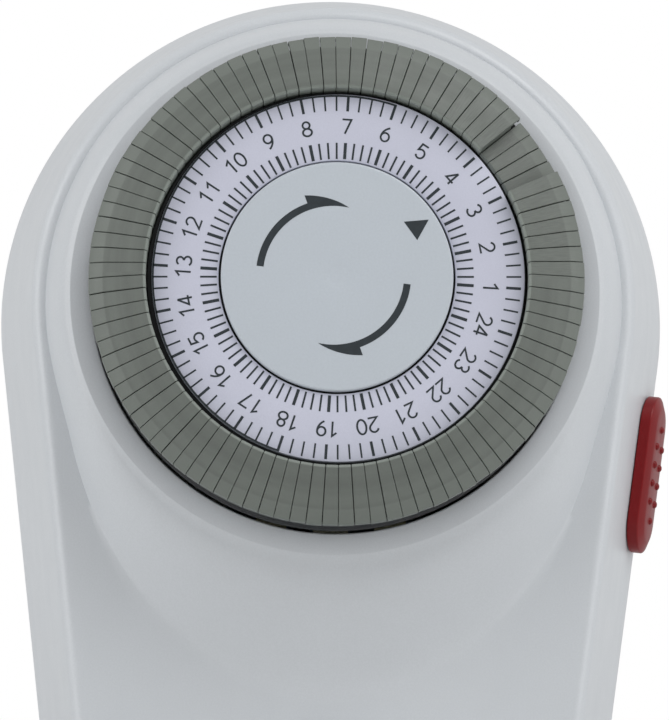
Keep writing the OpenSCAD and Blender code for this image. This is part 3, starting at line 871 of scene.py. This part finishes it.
def tappets():
    """The four tappets of each hour, a little uneven in place and tone."""
    chance = random.Random(24)
    for hour in range(1, 25):
        bm = bmesh.new()
        tint = bm.faces.layers.float.new("tint")
        pushed = TAPPET_TRAVEL if hour == SET_HOUR else 0
        for quarter in range(4):
            turn = FIRST_HOUR + ((hour - 1) * 4 + quarter + 0.5) * TAPPET_STEP
            tappet(
                bm,
                tint,
                turn + chance.uniform(-0.0008, 0.0008),
                -pushed - chance.uniform(0, 0.1),
                -chance.uniform(0, 0.1),
                chance.random(),
            )
        name = f"tappets_hour_{hour:02d}"
        piece = new_piece(f"push_{name}", bm, FINISHES["tappet_plastic"], 30)
        bevel = piece.modifiers.new("bevel", "BEVEL")
        bevel.width = 0.09 * MM
        bevel.segments = 2
        bevel.limit_method = "ANGLE"
        bevel.angle_limit = math.radians(28)
        bevel.harden_normals = True
        freeze(piece)
        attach(piece, name)
        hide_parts(name)


# ---------------------------------------------------------------- prints


def arc(cx, cy, rx, ry, start, end, count=14):
    """Points of an elliptic arc between two angles in degrees."""
    points = []
    for i in range(count + 1):
        a = math.radians(start + (end - start) * i / count)
        points.append((cx + rx * math.cos(a), cy + ry * math.sin(a)))
    return points


SIX = [
    arc(0, 0.3, 0.27, 0.3, 180, -180, 24),
    bezier((0.16, 1.0), (-0.1, 0.86), (-0.27, 0.62), (-0.27, 0.3), 8),
]
# Strokes of each digit in a box one high, centred on x = 0.
DIGITS = {
    "0": [arc(0, 0.5, 0.29, 0.5, 90, 450, 28)],
    "1": [[(-0.2, 0.76), (0.08, 1.0), (0.08, 0.0)]],
    "2": [arc(0, 0.71, 0.27, 0.29, 165, -38) + [(-0.29, 0.0), (0.3, 0.0)]],
    "3": [
        arc(0, 0.76, 0.25, 0.24, 155, -80),
        arc(0, 0.26, 0.29, 0.26, 82, -155),
    ],
    "4": [[(0.13, 1.0), (-0.3, 0.27), (0.31, 0.27)], [(0.13, 0.0), (0.13, 1.0)]],
    "5": [[(0.25, 1.0), (-0.2, 1.0), (-0.25, 0.53)] + arc(0, 0.32, 0.28, 0.32, 128, -150)],
    "6": SIX,
    "7": [[(-0.29, 1.0), (0.29, 1.0), (-0.09, 0.0)]],
    "8": [arc(0, 0.76, 0.23, 0.24, 90, 450, 20), arc(0, 0.26, 0.29, 0.26, 90, 450, 24)],
    "9": [[(-x, 1 - y) for x, y in stroke] for stroke in SIX],
}


def stroke(bm, line, width, place, low, high):
    """A flat band of ink along a line, its ends square. place() turns x, y, z into a point."""
    count = len(line)
    closed = math.dist(line[0], line[-1]) < 1e-6
    if closed:
        line = line[:-1]
        count -= 1
    left, right = [], []
    for i, (x, y) in enumerate(line):
        before = line[i - 1] if closed or i else None
        after = line[(i + 1) % count] if closed or i < count - 1 else None
        ways = []
        if before:
            ways.append(Vector((x - before[0], y - before[1])).normalized())
        if after:
            ways.append(Vector((after[0] - x, after[1] - y)).normalized())
        way = sum(ways, Vector((0, 0))).normalized()
        stretch = 1 / max(0.45, way.dot(ways[0]))
        side = Vector((-way.y, way.x)) * width / 2 * stretch
        left.append((x + side.x, y + side.y))
        right.append((x - side.x, y - side.y))
    rows = [
        [bm.verts.new(place(*p, z)) for p in points]
        for points, z in ((left, high), (right, high), (right, low), (left, low))
    ]
    last = count if closed else count - 1
    for a, b in zip(rows, rows[1:] + rows[:1]):
        for i in range(last):
            j = (i + 1) % count
            bm.faces.new((a[i], a[j], b[j], b[i]))
    if not closed:
        bm.faces.new([row[0] for row in rows])
        bm.faces.new([row[-1] for row in reversed(rows)])


def hour_angle(hour):
    """Where an hour's mark is printed on the dial."""
    return math.radians(15 * hour - 17.75)


def scale_disc():
    """The white ring that carries the prints, its outer edge a little off centre."""
    inner = DISC_R + 0.19
    sides = 192
    rings = []
    for radius, shift, z in (
        (inner, 0, SCALE_Z - 1),
        (SCALE_R, SCALE_SHIFT, SCALE_Z - 1),
        (SCALE_R, SCALE_SHIFT, SCALE_Z - 0.08),
        (SCALE_R - 0.03, SCALE_SHIFT, SCALE_Z - 0.02),
        (SCALE_R - 0.08, SCALE_SHIFT, SCALE_Z),
        (inner + 0.08, 0, SCALE_Z),
        (inner + 0.03, 0, SCALE_Z - 0.02),
        (inner, 0, SCALE_Z - 0.08),
    ):
        turns = [math.tau * i / sides for i in range(sides)]
        rings.append(
            [at(shift + radius * math.cos(a), DIAL_Y + radius * math.sin(a), z) for a in turns]
        )
    bm = bmesh.new()
    loft(bm, rings, closed=True)
    ring = new_piece("scale_ring", bm, FINISHES["scale_plastic"], 40)
    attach(ring, "dial")
    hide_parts("hour_scale")


def ticks(bm, low, high):
    """Two rings of quarter-hour ticks, the hours' a little wider."""
    for i in range(96):
        turn = Matrix.Rotation(hour_angle(1) + i * TAPPET_STEP, 2)
        on_hour = i % 4 == 0
        for inner, outer, width in (
            (13.28, 15.12, 0.34 if on_hour else 0.21),
            (18.72, 20.36, 0.3 if on_hour else 0.19),
        ):
            corners = []
            for r, side in ((inner, -1), (outer, -1), (outer, 1), (inner, 1)):
                corners.append(turn @ Vector((r, side * width / 2)))
            prism(
                bm,
                [at(p.x, DIAL_Y + p.y, low) for p in corners],
                [at(p.x, DIAL_Y + p.y, high) for p in corners],
            )


def day_band(bm, low, high):
    """The band round the scale's edge, from 6 to 18 hours."""
    band_r, half_width = 20.44, 0.11
    first, last = hour_angle(6), hour_angle(18)
    margin = 0.15 / 20.5
    steps = 120
    band = []
    for i in range(steps + 1):
        a = first - margin + (last - first + 2 * margin) * i / steps
        band.append((min(band_r, SCALE_R + SCALE_SHIFT * math.cos(a) - 0.14), a))
    rows = []
    for side, z in ((1, high), (-1, high), (-1, low), (1, low)):
        rows.append([bm.verts.new(round_at(r + side * half_width, a, z)) for r, a in band])
    for a, b in zip(rows, rows[1:] + rows[:1]):
        for i in range(steps):
            bm.faces.new((a[i], a[i + 1], b[i + 1], b[i]))
    bm.faces.new([row[0] for row in rows])
    bm.faces.new([row[-1] for row in rows])


def numbers(bm, low, high):
    """The hours 1 to 24, their feet toward the middle."""
    foot_r, height, pitch, breadth, line_width = 16.16, 1.62, 1.33, 1.06, 0.125
    for hour in range(1, 25):
        angle = hour_angle(hour)
        up = Vector((math.cos(angle), math.sin(angle)))
        right = Vector((up.y, -up.x))
        text = str(hour)
        for k, digit in enumerate(text):
            offset = (k - (len(text) - 1) / 2) * pitch
            for n, line in enumerate(DIGITS[digit]):

                # Where two strokes cross, the later one lies a little higher.
                def place(x, y, z, offset=offset, lift=0.004 * n):
                    p = up * (foot_r + y * height) + right * (offset + x * height * breadth)
                    return at(p.x, DIAL_Y + p.y, z + (lift if z > SCALE_Z else 0))

                stroke(bm, line, line_width, place, low, high)


def scale_prints():
    bm = bmesh.new()
    for prints_of in (ticks, day_band, numbers):
        prints_of(bm, SCALE_Z - INK_T, SCALE_Z + INK_T)
    prints = new_piece("scale_prints", bm, PRINT)
    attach(prints, "dial")


def disc_prints():
    """Two arrows that show which way the dial turns, and the pointer that reads the time."""
    bm = bmesh.new()
    low, high = DISC_Z - INK_T, DISC_Z + INK_T
    inner_r, outer_r, barb_r = 7.78, 8.56, 9.5
    tail_end, barb, tip = 174, 110.6, 78
    for half_turn in (0, 180):

        def place(r, degrees, z):
            a = math.radians(degrees + half_turn)
            return at(ARROWS_X + r * math.cos(a), DIAL_Y + ARROWS_Y + r * math.sin(a), z)

        inner = [(inner_r, a) for a in range(tail_end, tip, -3)]
        tail = [(outer_r, a) for a in range(tail_end, 112, -3)] + [(outer_r, barb)]
        head = []
        for i in range(12):
            t = i / 11
            head.append((barb_r + (inner_r - barb_r) * t, barb + (tip - barb) * t))
        outline = tail + head + inner[::-1]
        prism(
            bm,
            [place(r, a, low) for r, a in outline],
            [place(r, a, high) for r, a in outline],
        )
    triangle = [(7.28, 6.22), (10.03, 6.5), (8.79, 4.17)]
    prism(
        bm,
        [at(x, DIAL_Y + y, low) for x, y in triangle],
        [at(x, DIAL_Y + y, high) for x, y in triangle],
    )
    prints = new_piece("disc_prints", bm, PRINT)
    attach(prints, "case")


def centre_disc():
    """The fixed disc: a bevelled edge, a shallow round gate mark, and its stem."""
    edge = DISC_R - 0.06
    stem_r, stem_z, under = 1.78, DISC_Z - 6, DISC_Z - 1
    gate_r, gate_depth = 1.5, 0.05
    bm = bmesh.new()
    lathe(
        bm,
        [
            (0, stem_z),
            (stem_r, stem_z),
            (stem_r, under),
            (edge, under),
            (edge, DISC_Z - 0.18),
            (edge - 0.05, DISC_Z - 0.07),
            (edge - 0.14, DISC_Z - 0.01),
            (edge - 0.3, DISC_Z),
            (6, DISC_Z),
            (gate_r, DISC_Z),
            (gate_r - 0.15, DISC_Z - 0.3 * gate_depth),
            (gate_r - 0.3, DISC_Z - 0.9 * gate_depth),
            (gate_r - 0.9, DISC_Z - gate_depth),
            (0, DISC_Z - gate_depth),
        ],
    )
    disc = new_piece("centre_disc_cap", bm, FINISHES["disc_plastic"], 40)
    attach(disc, "case")
    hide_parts("centre_disc")


front_shell()
override_cap()
tappets()
centre_disc()
scale_disc()
scale_prints()
disc_prints()

# ---------------------------------------------------------------- CAD nodes that stay

BEVELS = {
    "rear_case": 0.25,
    "socket_well": 0.12,
    "socket_face": 0.1,
    "dial_carrier": 0.06,
    "live_pin": 0.15,
    "neutral_pin": 0.15,
    "earth_strip": 0.08,
    "case_screws": 0.1,
}
for part in frame["record"]["subparts"]:
    node = frame["nodes"][part["node"]]
    if node.hide_render:
        continue
    node.data.materials.clear()
    node.data.materials.append(FINISHES[part["material_slot"]])
    soften(node, BEVELS.get(part["node"], 0))

# ---------------------------------------------------------------- floor, light, camera

# Where the softboxes point, in metres of the row frame.
AIM = (0, -0.04, 0.06)


def floor():
    bm = bmesh.new()
    bmesh.ops.create_grid(bm, x_segments=1, y_segments=1, size=6)
    bmesh.ops.translate(bm, verts=bm.verts, vec=(0, 0, cad_box[0].z))
    f = Finish("floor")
    grain = f.noise(6, 3)
    f.wire(
        f.mix(f.spread(grain, 0, 1), (0.8, 0.8, 0.8), (0.83, 0.83, 0.83)),
        f.spread(grain, 0.55, 0.65),
        f.bump(grain, 0.05, 0.1),
    )
    new_piece("floor", bm, f.material)


def softbox(name, place, width, height, power):
    """A rectangular light aimed at the middle of the front."""
    light = bpy.data.lights.new(name, "AREA")
    light.shape = "RECTANGLE"
    light.size, light.size_y = width, height
    light.energy = power
    lamp = bpy.data.objects.new(name, light)
    lamp.location = place
    lamp.rotation_mode = "QUATERNION"
    lamp.rotation_quaternion = (Vector(AIM) - Vector(place)).to_track_quat("-Z", "Y")
    bpy.context.scene.collection.objects.link(lamp)


def world():
    """A white tent: even light all round, dimmer from in front and below on the left."""
    made = bpy.data.worlds.new("tent")
    bpy.context.scene.world = made
    made.use_nodes = True
    tree = made.node_tree
    tree.nodes.clear()

    def node(kind, **settings):
        n = tree.nodes.new(kind)
        for key, value in settings.items():
            setattr(n, key, value)
        return n

    place = node("ShaderNodeTexCoord")
    front = node("ShaderNodeVectorMath", operation="DOT_PRODUCT")
    front.inputs[1].default_value = (-0.2, -0.93, -0.3)
    tree.links.new(place.outputs["Generated"], front.inputs[0])
    dim = node("ShaderNodeMapRange", interpolation_type="SMOOTHSTEP")
    dim.inputs["From Min"].default_value = 0.4
    dim.inputs["From Max"].default_value = 0.98
    dim.inputs["To Min"].default_value = 0.66
    dim.inputs["To Max"].default_value = 0.05
    tree.links.new(front.outputs["Value"], dim.inputs["Value"])
    light = node("ShaderNodeBackground")
    tree.links.new(dim.outputs["Result"], light.inputs["Strength"])
    seen = node("ShaderNodeBackground")
    seen.inputs["Strength"].default_value = 1.0
    for background in (light, seen):
        background.inputs["Color"].default_value = (1, 1, 1, 1)
    path = node("ShaderNodeLightPath")
    mix = node("ShaderNodeMixShader")
    tree.links.new(path.outputs["Is Camera Ray"], mix.inputs[0])
    tree.links.new(light.outputs[0], mix.inputs[1])
    tree.links.new(seen.outputs[0], mix.inputs[2])
    out = node("ShaderNodeOutputWorld")
    tree.links.new(mix.outputs[0], out.inputs["Surface"])


def camera():
    """Looks slightly up at the dial from a little left of the middle."""
    azimuth, elevation, roll = math.radians(1.14), math.radians(9.18), math.radians(0.83)
    distance = 0.4727
    forward = Vector(
        (
            math.sin(azimuth) * math.cos(elevation),
            math.cos(azimuth) * math.cos(elevation),
            math.sin(elevation),
        )
    )
    level = Vector((math.cos(azimuth), -math.sin(azimuth), 0))
    right = Matrix.Rotation(-roll, 3, forward) @ level
    up = right.cross(forward)
    centre = at(0, DIAL_Y, DISC_Z) - 9.28 * MM * up - 0.3 * MM * right
    data = bpy.data.cameras.new("camera")
    data.lens = 214.3
    data.sensor_width = 36
    data.clip_start = 0.01
    data.clip_end = 50
    made = bpy.data.objects.new("camera", data)
    made.rotation_mode = "QUATERNION"
    made.rotation_quaternion = Matrix((right, up, -forward)).transposed().to_quaternion()
    made.location = centre - distance * forward
    bpy.context.scene.collection.objects.link(made)
    bpy.context.scene.camera = made


floor()
world()
softbox("left", (-0.5, -0.32, 0.16), 0.3, 0.6, 1.35)
softbox("right", (0.5, -0.32, 0.12), 0.3, 0.6, 0.85)
softbox("key", (0.26, -0.42, 0.55), 0.35, 0.35, 1.25)
camera()
bpy.context.scene.view_settings.view_transform = "Standard"
